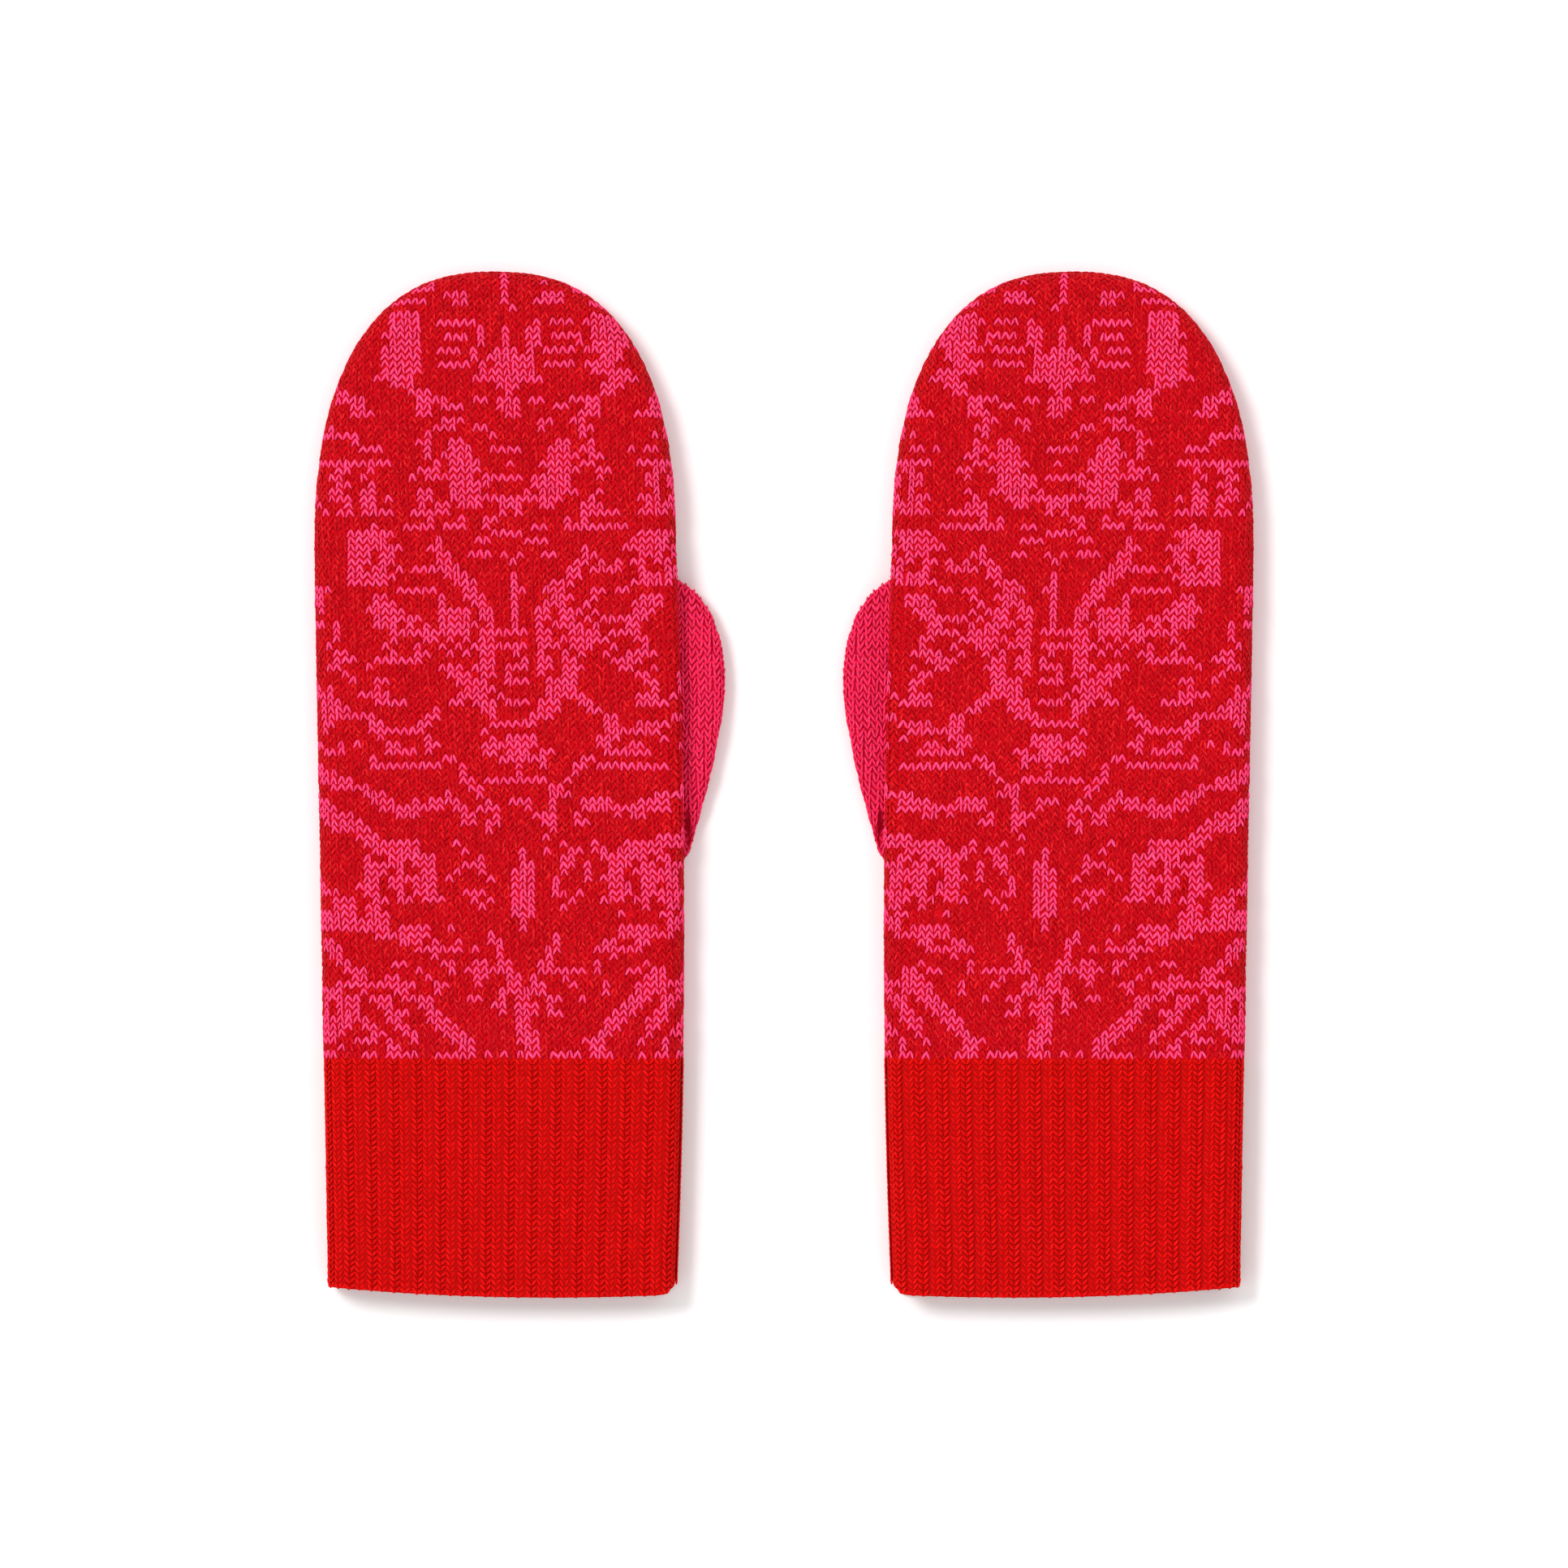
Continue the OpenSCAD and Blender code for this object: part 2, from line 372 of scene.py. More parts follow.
def pickOnly(piece):
    bpy.ops.object.select_all(action="DESELECT")
    piece.select_set(True)
    bpy.context.view_layer.objects.active = piece


def meshPoints(piece):
    points = np.empty(len(piece.data.vertices) * 3)
    piece.data.vertices.foreach_get("co", points)
    return points.reshape(-1, 3)


def setPoints(piece, points):
    piece.data.vertices.foreach_set("co", np.asarray(points, float).ravel())
    piece.data.update()


def faceOut(piece):
    # Turns every face's normal outward
    pickOnly(piece)
    bpy.ops.object.mode_set(mode="EDIT")
    bpy.ops.mesh.select_all(action="SELECT")
    bpy.ops.mesh.normals_make_consistent(inside=False)
    bpy.ops.object.mode_set(mode="OBJECT")


def setValues(piece, name, values):
    stored = piece.data.attributes.new(name, "FLOAT", "POINT")
    stored.data.foreach_set("value", np.asarray(values, np.float32).ravel())


def unevenLegs(local, legs, uneven, chance):
    # No two legs are quite as long, as thick or as slanted as each other
    count = len(local)
    each = local.reshape(count, legs, -1, 3)
    middle = each.mean(2, keepdims=True)
    size = 1 + chance.normal(0, uneven, (count, legs, 1, 3)) * (1, 0.8, 0.6)  # width, length, height
    turn = chance.normal(0, uneven, (count, legs, 1))
    fromMiddle = (each - middle) * np.clip(size, 0.6, 1.4)
    leaning = np.stack([fromMiddle[..., 0] - turn * fromMiddle[..., 1],
                        fromMiddle[..., 1] + turn * fromMiddle[..., 0], fromMiddle[..., 2]], -1)
    return (middle + leaning).reshape(local.shape)


def knit(name, stitch, spots, seed, loose=0.07, legs=2, uneven=0.1):
    # One copy of the stitch for every spot, each a little different from the next.
    # "crown" says how high on the yarn a point lies, and "tone" differs from leg to leg.
    count = len(spots["at"])
    pickOnly(stitch)
    bpy.ops.object.duplicate()
    piece = bpy.context.object
    piece.name = name
    piece.data.name = name
    bpy.ops.object.modifier_add(type="ARRAY")
    row = piece.modifiers[-1]
    row.count = count
    row.use_relative_offset = False
    row.use_constant_offset = True
    row.constant_offset_displace = (0, 0, 0)
    bpy.ops.object.modifier_apply(modifier=row.name)

    chance = np.random.default_rng(seed)
    local = meshPoints(piece).reshape(count, -1, 3)
    crown = local[..., 2] - local[..., 2].min()
    crown /= crown.max()
    local = unevenLegs(local, legs, uneven, chance)
    if "size" in spots:
        local = local * spots["size"][:, None]
    turn = chance.normal(0, loose, count)[:, None]
    shift = chance.normal(0, loose, (count, 3)) * (1, 1, 0.8)
    x = local[..., 0] - turn * local[..., 1] + shift[:, 0, None]
    y = local[..., 1] + turn * local[..., 0] + shift[:, 1, None]
    z = local[..., 2] * (1 + chance.normal(0, 1.2 * loose, count)[:, None]) + shift[:, 2, None]
    if "press" in spots:
        z = z * spots["press"][:, None]
    points = (spots["at"][:, None] + x[..., None] * spots["across"][:, None]
              + y[..., None] * spots["along"][:, None] + z[..., None] * spots["out"][:, None])
    setPoints(piece, points.reshape(-1, 3) * mm)
    faceOut(piece)
    setValues(piece, "crown", crown)
    setValues(piece, "tone", np.repeat(chance.random(count * legs), local.shape[1] // legs))
    return piece


def wander(flat):
    # Knitting is never quite straight: wales and courses stray by a fraction of a stitch
    x, y = flat.T
    strayAcross, strayAlong = 0.16, 0.14
    sideways = np.sin(y / 9.1 + x / 23) + 0.7 * np.sin(y / 4.3 - x / 11 + 1)
    upwards = np.sin(x / 7.7 + y / 19 + 2) + 0.7 * np.sin(x / 3.9 - y / 27)
    return np.column_stack([strayAcross * sideways, strayAlong * upwards])


def gridOver(outline, wale, course, firstY, middle, rowsBelow=False):
    # Wale and course numbers, and flat places, of every stitch that might lie within an outline
    margin = 12
    low, high = outline.min(0) - margin, outline.max(0) + margin
    firstRow = math.floor((low[1] - firstY) / course) if rowsBelow else 0
    rows = np.arange(firstRow, math.ceil((high[1] - firstY) / course))
    y = firstY + (rows + 0.5) * course
    reach = math.ceil((high[0] - low[0]) / wale)
    wales, courses = np.meshgrid(np.arange(-reach, reach + 1), rows)
    flatY = np.broadcast_to(y[:, None], wales.shape)
    flatX = middle + wales * wale
    inBox = (flatX > low[0]) & (flatX < high[0])
    flat = np.column_stack([flatX[inBox], flatY[inBox]])
    return wales[inBox], courses[inBox], flat + wander(flat)


# The chart of the back, in wales out from the middle and courses up from the cuff

chart = {
    "wale": 2.21, "course": 1.92,
    "middleX": 7.9,        # how far the chart's middle starts from the mitten's own, towards the thumb
    "lean": 0.031,         # how much the wales lean away from the thumb, per length
    "seed": 11,
    "fray": 0.58,          # how far whole rows stray, in stitches
    "stray": 0.26,         # how far single stitches stray
    "hemShare": 0.62,      # share of the first course worked in the second colour
    "speckShare": 0.006,   # share of single stitches in the wrong colour
}

# Blocks: from wale, to wale, from course, to course
blocks = [
    (0, 0.9, 106, 112), (0, 0.9, 94, 104), (0, 1.9, 98, 101), (0, 1.2, 90.6, 96), (0, 3, 96, 97.2),
    (4.6, 9, 104, 104.9), (5, 9.4, 102, 102.9), (4.6, 9, 100, 100.9), (5, 9.4, 98, 98.9),
    (3, 3.9, 96, 104), (10.8, 14.2, 98, 106), (12.2, 16, 96, 97.9), (0, 1.9, 86, 86.9),
    (0, 0.9, 84, 84.9), (0, 3.1, 82, 82.9), (0, 4, 79, 79.9), (9.4, 10.5, 83, 90),
    (8.8, 11.4, 82, 83.2), (16, 21, 91, 92), (18.6, 27, 88, 88.9), (15.6, 19, 86, 86.9),
    (17, 18.6, 77, 84), (20.2, 21.9, 77, 84), (16, 25, 83.4, 84.8), (18, 20.6, 80, 81),
    (6.4, 14.6, 75, 75.9), (8, 12, 77, 77.9), (0, 1.2, 77, 78.4), (2.4, 5, 73, 73.9),
    (0, 1.9, 74, 74.9), (15.6, 20.6, 67, 74.8), (9.6, 14.6, 69, 69.9), (10.6, 15, 66, 66.9),
    (0, 0.9, 60, 68), (9.2, 10, 59, 66), (22, 22.9, 55, 62), (22, 27, 61, 61.9), (2.6, 4.4, 54, 62.6),
    (6, 8.6, 55, 64), (0, 1.8, 60, 60.9), (0, 1.8, 57.4, 58.2), (0, 1.8, 55, 55.9),
    (0, 1.8, 52.4, 53.2), (0, 1.8, 50, 50.9), (0, 2.9, 47, 47.9), (16.6, 17.5, 51, 57),
    (14.8, 18.4, 50, 51), (0, 1.9, 43, 45.4), (0, 0.9, 39.6, 43), (2.6, 3.4, 41, 44),
    (0, 1.9, 36, 36.9), (0, 1.4, 20, 27), (0, 0.9, 18, 29), (10.4, 15.6, 21.4, 29), (17, 18.9, 19, 28),
    (6.6, 8.2, 33, 35.2), (5.8, 7.2, 21.6, 23.6), (5, 6.6, 27, 27.9), (0, 1.2, 0, 9.4),
    (0, 2.9, 8.6, 9.9), (21, 27, 18, 20.9), (22, 26, 3, 10), (3.4, 7.6, 12, 12.9), (6.4, 7.2, 8, 11),
    (3.2, 4, 5.4, 8.4),
]

# Ovals: wale, course, half width, half height
ovals = [
    (6.2, 107.6, 2.2, 1.3), (9.4, 109.2, 1.7, 0.9), (12.6, 101, 2.6, 5.4), (5.8, 83, 2.4, 5),
    (4.6, 79.6, 2, 2.2), (17.8, 71, 3.4, 4.4), (16, 63, 2.2, 3), (13.2, 58, 3, 3.4), (5, 52, 1.5, 1.9),
    (12.8, 43.6, 3.6, 1.5), (0, 42, 2.3, 1.1), (24.4, 65, 1.4, 2.4), (13, 25.4, 3.5, 4.3),
    (18, 25, 1.7, 4.6), (22.8, 6.6, 2.6, 4.8), (23.4, 48.6, 1.6, 3),
]

# Gaps cut back out of them, as ovals
gaps = [
    (13.2, 58, 1.5, 1.5), (13.2, 24.4, 0.6, 3.4), (19.2, 80, 0.9, 0.9), (17.6, 70, 0.6, 1.2),
    (7.3, 58, 0.5, 2.6), (12.8, 43.6, 2, 0.5), (24, 6.6, 0.6, 1.8),
]

# Bands: width in stitches, then the wale and course of each point along it
bands = [
    (1.2, (15, 107.4), (10, 106.6)), (2.2, (15, 97), (11.6, 93.4), (8.4, 89.4)),
    (1.1, (11, 93.4), (6, 92), (3.6, 93.4)), (0.9, (8.6, 89.6), (3.4, 89.4), (1.4, 87.6)),
    (1.8, (27, 98), (22.6, 94.6), (18, 92.4)), (1.1, (22, 78.6), (16, 76.6)),
    (1, (25.4, 79), (22.6, 76.6)), (1.2, (12, 76.6), (10.4, 79.8), (9, 76.6)),
    (1, (5.6, 76.6), (3.6, 74.6), (2, 76)), (0.9, (5.2, 70.4), (2, 71.6), (0, 70.2)),
    (2.4, (9.4, 72), (7.4, 68), (3, 62.4)), (1.2, (15.4, 61.8), (11.8, 62), (10.6, 59)),
    (1, (20.8, 58), (21.4, 54), (19, 51)), (1.9, (8, 54.4), (5.4, 51.6), (3, 48)),
    (1.4, (5.8, 52.6), (9.8, 48.6), (12, 46.8)), (0.9, (2.6, 47.4), (3.2, 45), (1.6, 43.4)),
    (1.6, (26, 52.4), (20.6, 48.2), (16.4, 47)), (1.5, (17.8, 45.6), (12, 46.2), (9.6, 44)),
    (1.3, (18.6, 41.4), (12.6, 40.8), (9, 42)), (1.2, (27, 45), (23, 43), (19.6, 44)),
    (2.1, (27, 41), (20, 37.8), (15, 34.6), (9, 35.8)),
    (1.1, (7.6, 41.4), (5.4, 38), (2, 39), (0, 38.8)), (1.8, (5.4, 37.4), (3.4, 35), (3.6, 31.4)),
    (2.6, (27, 36.4), (21.4, 32.6), (17, 29.6), (12.6, 29)),
    (0.9, (3.6, 31), (4.8, 27.4), (3.8, 23.4), (4.8, 19.4)), (1, (8.8, 31), (6.6, 28), (8.2, 25.4)),
    (1.9, (27, 25), (22.4, 22), (17.6, 17), (12, 17.4)), (1.4, (19, 18.4), (13, 15), (8.6, 15.4)),
    (1.7, (4.2, 17.4), (2.8, 14), (1, 9.4)), (1.2, (12, 15.4), (9, 12)),
    (1, (6.6, 10.4), (3.6, 12.4), (2.6, 15)), (2, (25, 15.8), (19.6, 10), (14.4, 2.6)),
    (2.5, (17, 11), (11.8, 6.2), (7.6, 1)), (1.3, (21, 6), (17, 1.4)), (1, (16, 13.4), (13.4, 11.6)),
    (1.1, (27, 2.6), (23, 1.4), (20, 2)), (1, (11.6, 10.6), (9.4, 8.6)),
]


def inBand(u, v, band):
    width, corners = band[0], np.array(band[1:], float)
    stitchShape = 1.15  # a stitch is that much wider than it is high
    near = np.full(u.shape, np.inf)
    for (u0, v0), (u1, v1) in zip(corners[:-1], corners[1:]):
        du, dv = (u1 - u0) * stitchShape, v1 - v0
        pu, pv = (u - u0) * stitchShape, v - v0
        along = np.clip((pu * du + pv * dv) / (du * du + dv * dv), 0, 1)
        near = np.minimum(near, np.hypot(pu - along * du, pv - along * dv))
    return near < width / 2 - 0.08


def inOval(u, v, oval, edge):
    u0, v0, halfWidth, halfHeight = oval
    return ((u - u0) / halfWidth) ** 2 + ((v - v0) / halfHeight) ** 2 < edge


def drawChart(wales, courses):
    # True where the stitch is worked in the second colour. Each row's ends stray by a stitch or so,
    # except at the middle line.
    chance = np.random.default_rng(chart["seed"])
    rowStray = chance.normal(0, chart["fray"], (2, 400))
    cellStray = chance.normal(0, chart["stray"], (2, len(wales)))
    side = (wales > 0).astype(int)
    fromMiddle = np.abs(wales)
    u = fromMiddle + np.where(fromMiddle > 2, rowStray[side, courses], 0) * 0.8 + cellStray[0]
    u = np.where(fromMiddle < 2, fromMiddle + 0.35 * cellStray[0], u)
    v = courses + cellStray[1] * 0.5
    figure = np.zeros(len(wales), bool)
    for u0, u1, v0, v1 in blocks:
        figure |= (u >= u0 - 0.4) & (u <= u1 - 0.1) & (v >= v0 - 0.2) & (v <= v1 - 0.1)
    for band in bands:
        figure |= inBand(u, v, band)
    for oval in ovals:
        figure |= inOval(u, v, oval, 0.8)
    for gap in gaps:
        figure &= ~inOval(u, v, gap, 1)
    hem = (courses == 0) & (chance.random(len(wales)) < chart["hemShare"])
    specks = chance.random(len(wales)) < chart["speckShare"]
    return figure | hem | specks


# Yarns

def newPaint(name, roughness, gloss):
    paint = bpy.data.materials.new(name)
    paint.use_nodes = True
    shader = paint.node_tree.nodes["Principled BSDF"]
    shader.inputs["Roughness"].default_value = roughness
    shader.inputs["Specular IOR Level"].default_value = gloss
    return paint, paint.node_tree, shader


def addNode(tree, kind, links=None, **values):
    # links: socket name to (node, output). values: socket name, written together, to its value.
    node = tree.nodes.new("ShaderNode" + kind)
    for socket in node.inputs:
        plain = socket.name.replace(" ", "")
        if plain in values and not socket.is_unavailable and socket.enabled:
            socket.default_value = values[plain]
    for socket, (source, output) in (links or {}).items():
        tree.links.new(source.outputs[output], node.inputs[socket])
    return node


def mixColours(tree, first, second, share, blend="MIX"):
    # Each of the three is a colour or number, or the (node, output) that gives it
    mix = tree.nodes.new("ShaderNodeMix")
    mix.data_type = "RGBA"
    mix.blend_type = blend
    for socket, given in (("A", first), ("B", second), ("Factor", share)):
        if isinstance(given, tuple) and isinstance(given[0], bpy.types.Node):
            tree.links.new(given[0].outputs[given[1]], mix.inputs[socket])
        else:
            mix.inputs[socket].default_value = (*given, 1) if isinstance(given, tuple) else given
    return mix


def rescale(tree, source, fromRange, toRange=(0, 1)):
    return addNode(tree, "MapRange", {"Value": source}, FromMin=fromRange[0], FromMax=fromRange[1],
                   ToMin=toRange[0], ToMax=toRange[1])


def addBump(tree, height, strength, distance, normal=None):
    links = {"Height": height}
    if normal:
        links["Normal"] = (normal, "Normal")
    return addNode(tree, "Bump", links, Strength=strength, Distance=distance)


def yarn(name, crown, gap, glintColour, glintShare=0.7, spread=0.3, plyShade=0.25):
    # Painted light and shade: the colour runs from the gap colour low on each leg to the crown colour on its
    # top, darker in the gaps (for the red, lighter, a painted lift of its shaded gaps). Twisted and a little
    # hairy
    paint, tree, shader = newPaint(name, roughness=0.85, gloss=0.08)
    place = addNode(tree, "TexCoord")
    height = addNode(tree, "Attribute")
    height.attribute_name = "crown"
    tone = addNode(tree, "Attribute")
    tone.attribute_name = "tone"
    # Painted shade: mixes from the gap colour low on each leg to the crown colour at its top
    paintedShadeShare = rescale(tree, (height, "Fac"), (0.45, 0.95))
    colour = mixColours(tree, gap, crown, (paintedShadeShare, "Result"))

    # Each leg is a little lighter or darker, and mottled
    hairs = addNode(tree, "TexNoise", {"Vector": (place, "Object")}, Scale=2600, Detail=3)
    mottle = addNode(tree, "Math")
    mottle.operation = "ADD"
    tree.links.new(tone.outputs["Fac"], mottle.inputs[0])
    tree.links.new(hairs.outputs["Fac"], mottle.inputs[1])
    bright = rescale(tree, (mottle, "Value"), (0.2, 1.8), (1 - spread, 1 + spread))
    vary = addNode(tree, "HueSaturation", {"Value": (bright, "Result"), "Color": (colour, "Result")})

    # Painted highlights: single fibres catching the light along each leg
    ownPattern = addNode(tree, "Math")
    ownPattern.operation = "MULTIPLY"
    ownPattern.inputs[1].default_value = 40
    tree.links.new(tone.outputs["Fac"], ownPattern.inputs[0])
    lengthwise = addNode(tree, "Mapping", {"Vector": (place, "UV")}, Scale=(8, 2.4, 1))
    strands = addNode(tree, "TexNoise")
    strands.noise_dimensions = "4D"
    strands.inputs["Scale"].default_value = 1
    strands.inputs["Detail"].default_value = 1
    tree.links.new(lengthwise.outputs["Vector"], strands.inputs["Vector"])
    tree.links.new(ownPattern.outputs["Value"], strands.inputs["W"])
    lit = rescale(tree, (strands, "Fac"), (0.55, 0.68), (0, glintShare))
    glinted = mixColours(tree, (vary, "Color"), glintColour, (lit, "Result"))

    # The twist of the plies, as a faint groove: painted shade along it, and a bump
    turned = addNode(tree, "Mapping", {"Vector": (place, "UV")}, Rotation=(0, 0, math.radians(40)),
                     Scale=(0.5, 0.35, 1))
    twist = addNode(tree, "TexWave", {"Vector": (turned, "Vector")}, Scale=1, Distortion=0.4)
    grooveShade = rescale(tree, (twist, "Fac"), (0, 0.45), (1 - plyShade, 1))
    plies = mixColours(tree, (glinted, "Result"), (grooveShade, "Result"), 1, blend="MULTIPLY")
    tree.links.new(plies.outputs["Result"], shader.inputs["Base Color"])
    plyBump = addBump(tree, (twist, "Fac"), strength=0.5, distance=0.0002)
    hairBump = addBump(tree, (hairs, "Fac"), strength=0.35, distance=0.0002, normal=plyBump)
    tree.links.new(hairBump.outputs["Normal"], shader.inputs["Normal"])

    shader.inputs["Specular Tint"].default_value = (*crown, 1)
    shader.inputs["Sheen Weight"].default_value = 0.06
    shader.inputs["Sheen Roughness"].default_value = 0.5
    shader.inputs["Sheen Tint"].default_value = (*crown, 1)
    return paint


def lining(name, light, hollowShadeColour):
    # The knit's inner face: rows of small bumps, with painted shade darkening the hollows between them
    paint, tree, shader = newPaint(name, roughness=0.95, gloss=0.05)
    place = addNode(tree, "TexCoord")
    stretched = addNode(tree, "Mapping", {"Vector": (place, "Object")}, Scale=(0.8, 1.25, 1))
    loops = addNode(tree, "TexVoronoi", {"Vector": (stretched, "Vector")}, Scale=620, Randomness=0.45)
    colour = mixColours(tree, light, hollowShadeColour, (loops, "Distance"))
    tree.links.new(colour.outputs["Result"], shader.inputs["Base Color"])
    bump = addBump(tree, (loops, "Distance"), strength=0.6, distance=0.0006)
    bump.invert = True
    tree.links.new(bump.outputs["Normal"], shader.inputs["Normal"])
    return paint


# Each yarn's crown and gap colours are painted light and painted shade by height on the leg; the red's gap is
# painted lighter than its crown to lift its shaded gaps
yarns = {
    "red": yarn("redYarn", crown=(0.47, 0.0030, 0.0078), gap=(0.60, 0.0036, 0.0100),
                glintColour=(0.94, 0.036, 0.036), glintShare=0.6, spread=0.2, plyShade=0.08),
    "pink": yarn("pinkYarn", crown=(1.0, 0.062, 0.205), gap=(0.76, 0.005, 0.036),
                 glintColour=(1.0, 0.150, 0.360), spread=0.22, plyShade=0.12),
    "palm": yarn("palmYarn", crown=(1.0, 0.034, 0.138), gap=(0.70, 0.004, 0.026),
                 glintColour=(1.0, 0.080, 0.230), spread=0.2, plyShade=0.12),
    "cuff": yarn("cuffYarn", crown=(0.68, 0.0055, 0.0048), gap=(0.64, 0.0034, 0.0032),
                 glintColour=(0.84, 0.018, 0.015), spread=0.16, plyShade=0.16),
}
linings = {
    "red": lining("redLining", light=(0.70, 0.0046, 0.0135), hollowShadeColour=(0.54, 0.0028, 0.0092)),
    "pink": lining("pinkLining", light=(0.66, 0.008, 0.040), hollowShadeColour=(0.46, 0.004, 0.020)),
    "cuff": lining("cuffLining", light=(0.56, 0.0040, 0.0040), hollowShadeColour=(0.36, 0.0020, 0.0020)),
}


def wear(piece, paint):
    piece.data.materials.clear()
    piece.data.materials.append(paint)
    return piece


# Fabric under the stitches

def fabric(name, sheet, low, high, cells, depth, paint, layOut=None):
    # A grid cut to the panel's flat shape, folded over and given its thickness
    bpy.ops.object.select_all(action="DESELECT")
    bpy.ops.mesh.primitive_grid_add(x_subdivisions=cells[0], y_subdivisions=cells[1], size=1)
    piece = bpy.context.object
    piece.name = name
    piece.data.name = name
    flat = (meshPoints(piece)[:, :2] + 0.5) * (np.array(high) - low) + low
    cell = (high[0] - low[0]) / cells[0]
    if layOut:
        flat = layOut(flat)
    for _ in range(6):
        # Pulls the ring of points next to the edge onto it
        inside, outward = panelDistance(sheet, flat)
        past = sheet["bend"] - inside
        plan = flat - outward * np.clip(past, 0, None)[:, None]
        half = (sheet["top"](plan) - sheet["bottom"](plan)) / 2
        over = past - quarterLength(sheet["bend"], half)
        ring = np.abs(over) < cell * 0.75
        flat[ring] -= (outward * over[:, None])[ring]
    setPoints(piece, foldOver(sheet, flat)[0] * mm)
    bpy.ops.object.mode_set(mode="EDIT")
    bpy.ops.mesh.select_mode(type="VERT")
    bpy.ops.mesh.select_all(action="DESELECT")
    bpy.ops.object.mode_set(mode="OBJECT")
    piece.data.vertices.foreach_set("select", (over > 0.05) & ~ring)
    bpy.ops.object.mode_set(mode="EDIT")
    bpy.ops.mesh.delete(type="VERT")
    bpy.ops.mesh.select_all(action="SELECT")
    bpy.ops.mesh.dissolve_degenerate(threshold=1e-5)
    bpy.ops.mesh.select_all(action="SELECT")
    if sheet["side"] < 0:
        bpy.ops.mesh.flip_normals()
    bpy.ops.object.mode_set(mode="OBJECT")
    bpy.ops.object.modifier_add(type="SOLIDIFY")
    solid = piece.modifiers[-1]
    solid.thickness = depth * mm
    solid.offset = -1
    solid.use_even_offset = False
    bpy.ops.object.modifier_apply(modifier=solid.name)
    bpy.ops.object.shade_smooth_by_angle(angle=math.radians(50))
    return wear(piece, paint)


# Chains of stitches along the seams

def evenly(points, pitch, closed=False):
    # The line of points again, as even steps
    if closed:
        points = np.vstack([points, points[:1]])
    travelled = np.concatenate([[0], np.cumsum(np.linalg.norm(np.diff(points, axis=0), axis=1))])
    count = max(2, round(travelled[-1] / pitch))
    marks = (np.arange(count) + 0.5) * travelled[-1] / count
    return np.column_stack([np.interp(marks, travelled, line) for line in points.T])


def lineSpots(points, outward, closed=False):
    # Turns a line of even points into spots whose "along" follows the line
    if closed:
        along = np.roll(points, -1, axis=0) - np.roll(points, 1, axis=0)
    else:
        along = np.gradient(points, axis=0)
    along /= np.linalg.norm(along, axis=1)[:, None]
    out = outward - (outward * along).sum(1)[:, None] * along
    out /= np.linalg.norm(out, axis=1)[:, None]
    return {"at": points, "across": np.cross(along, out), "along": along, "out": out}


def edgeSpots(sheet, outline, pitch, closed=False):
    # Spots at mid height round a panel's edge, facing out
    plan = evenly(outline, pitch, closed)
    outward = edgeDistance(plan, sheet["outline"])[1]
    plan = plan - outward * (shape["stitchesStandOut"] + 0.15)
    middle = (sheet["top"](plan) + sheet["bottom"](plan)) / 2
    return lineSpots(np.column_stack([plan, middle]), np.column_stack([outward, np.zeros(len(plan))]), closed)


# Building the left mitten

pieces = []  # every piece with the body it moves with and the nodes it stands for


def piecePlan(piece, body, nodes, slot, crossesWrist=False, flat=None):
    pieces.append({"piece": piece, "body": body, "nodes": nodes, "slot": slot, "crossesWrist": crossesWrist,
                   "flat": flat})


# How wide and long each stitch is, and how steep its two legs lie
jersey = {"slant": 24, "apart": 0.52, "width": 0.86, "height": 0.95, "length": 2.7, "lift": 0.25}
ground = {**jersey, "width": 1.2, "height": 0.34, "lift": 0.12, "length": 2.9}
figured = {**jersey, "width": 0.82, "height": 0.9, "lift": 0.3}
palmed = {**jersey, "width": 0.96, "height": 0.85}
thumbed = {**jersey, "slant": -20, "height": 0.85, "length": 3.2}
ribbed = [
    {"middle": (-0.76, 0, 0.12), "slant": 40, "width": 1.02, "height": 0.85, "length": 2.5},
    {"middle": (0.76, 0, 0.06), "slant": -40, "width": 0.86, "height": 0.75, "length": 2.2},
]
beaded = [{"middle": (0, 0, 0.1), "slant": 0, "width": 1.0, "height": 0.9, "length": 2.3}]

groundStitch = makeStitch("groundStitch", pair(**ground), 5, 4)
figureStitch = makeStitch("figureStitch", pair(**figured), 6, 4)
palmStitch = makeStitch("palmStitch", pair(**palmed), 4, 4)
thumbStitch = makeStitch("thumbStitch", pair(**thumbed), 5, 4)
ribStitch = makeStitch("ribStitch", ribbed, 5, 4)
chainStitch = makeStitch("chainStitch", pair(22, 0.42, 0.85, 0.8, 2.5), 5, 4)
beadStitch = makeStitch("beadStitch", beaded, 6, 4)
print("stitches ready")

# "edge" is how far round a panel's edge the stitches go, as a share of the way
handKnit = {"edge": 0.97, "fingersFrom": 52}  # the course where the palm's second piece starts
thumbKnit = {"wale": 2.12, "course": 2.0, "edge": 0.88, "uneven": 0.07}

back = sheets["back"]
handBox = np.array([handLow[:2], handHigh[:2]])
handMiddle = (handLow[0] + handHigh[0]) / 2
wales, courses, flat = gridOver(handBox, chart["wale"], chart["course"], joinY, handMiddle + chart["middleX"])
flat[:, 0] -= chart["lean"] * (flat[:, 1] - joinY)
spots = places(back, flat, chart["lean"])
inPanel = spots["share"] < handKnit["edge"]
figure = drawChart(wales[inPanel], courses[inPanel])
spots = keep(spots, inPanel)
print("share of the back in the second colour", round(figure.mean(), 3))
piecePlan(wear(knit("left_hand_ground", groundStitch, keep(spots, ~figure), 1), yarns["red"]),
          "hand", ["hand_back"], "red_yarn")
piecePlan(wear(knit("left_hand_figure", figureStitch, keep(spots, figure), 2), yarns["pink"]),
          "hand", ["hand_back"], "pink_yarn")
print("back knitted")

